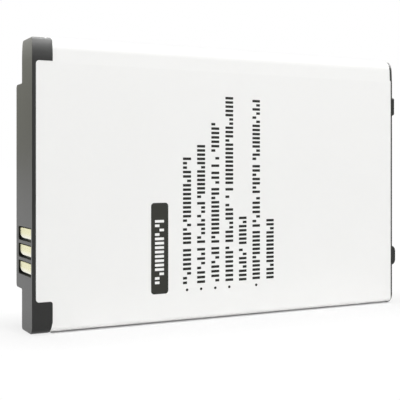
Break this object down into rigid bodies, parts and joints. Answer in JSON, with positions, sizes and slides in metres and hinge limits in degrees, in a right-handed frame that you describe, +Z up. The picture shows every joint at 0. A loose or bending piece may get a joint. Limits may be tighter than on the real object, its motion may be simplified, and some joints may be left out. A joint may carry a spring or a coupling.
{
  "type": "camera battery",
  "caption": "Flat rechargeable camera battery: a film-wrapped cell between a moulded contact cap with plated windows and a thin end cap with locating nubs.",
  "frame": {"origin": "under the middle of the pack's box, on the surface it stands on", "axes": "+X along the pack away from the contacts, +Y from the printed face to the back, +Z up across the pack's width"},
  "size_m": [0.0546, 0.0068, 0.035],
  "materials": {
    "cap_plastic": "moulded, satin",
    "label_film": "printed film, semi-gloss",
    "contact_plating": "gold flash over nickel",
    "can_aluminium": "drawn, satin",
    "nickel": "nickel strip",
    "board_laminate": "solder mask",
    "chip_black": "moulded package",
    "chip_ceramic": "fired ceramic, tinned ends",
    "gasket_plastic": "natural nylon",
    "spacer_plastic": "moulded, satin",
    "insulating_paper": "fibre paper",
    "foam_tape": "double-sided tape",
    "cutoff_body": "coated polymer"
  },
  "bodies": {
    "root": {"contact_cap": "cap_plastic", "far_end_cap": "cap_plastic", "label_wrap": "label_film", "cell": "can_aluminium", "rivet_gasket": "gasket_plastic", "terminal_rivet": "nickel", "fill_plug": "can_aluminium", "clad_tab": "can_aluminium", "lid_paper": "insulating_paper", "protection_board": "board_laminate", "board_spacer": "spacer_plastic", "protection_chip": "chip_black", "switch_chip": "chip_black", "thermal_cutoff": "cutoff_body", "negative_lead": "nickel", "cutoff_lead": "nickel", "positive_lead": "nickel", "end_tape": "foam_tape", "identity_resistor": "chip_ceramic", "filter_resistor": "chip_ceramic", "filter_capacitor": "chip_ceramic", "sense_resistor": "chip_ceramic", "contact_pad_1": "contact_plating", "contact_pad_2": "contact_plating", "contact_pad_3": "contact_plating"}
  },
  "joints": []
}
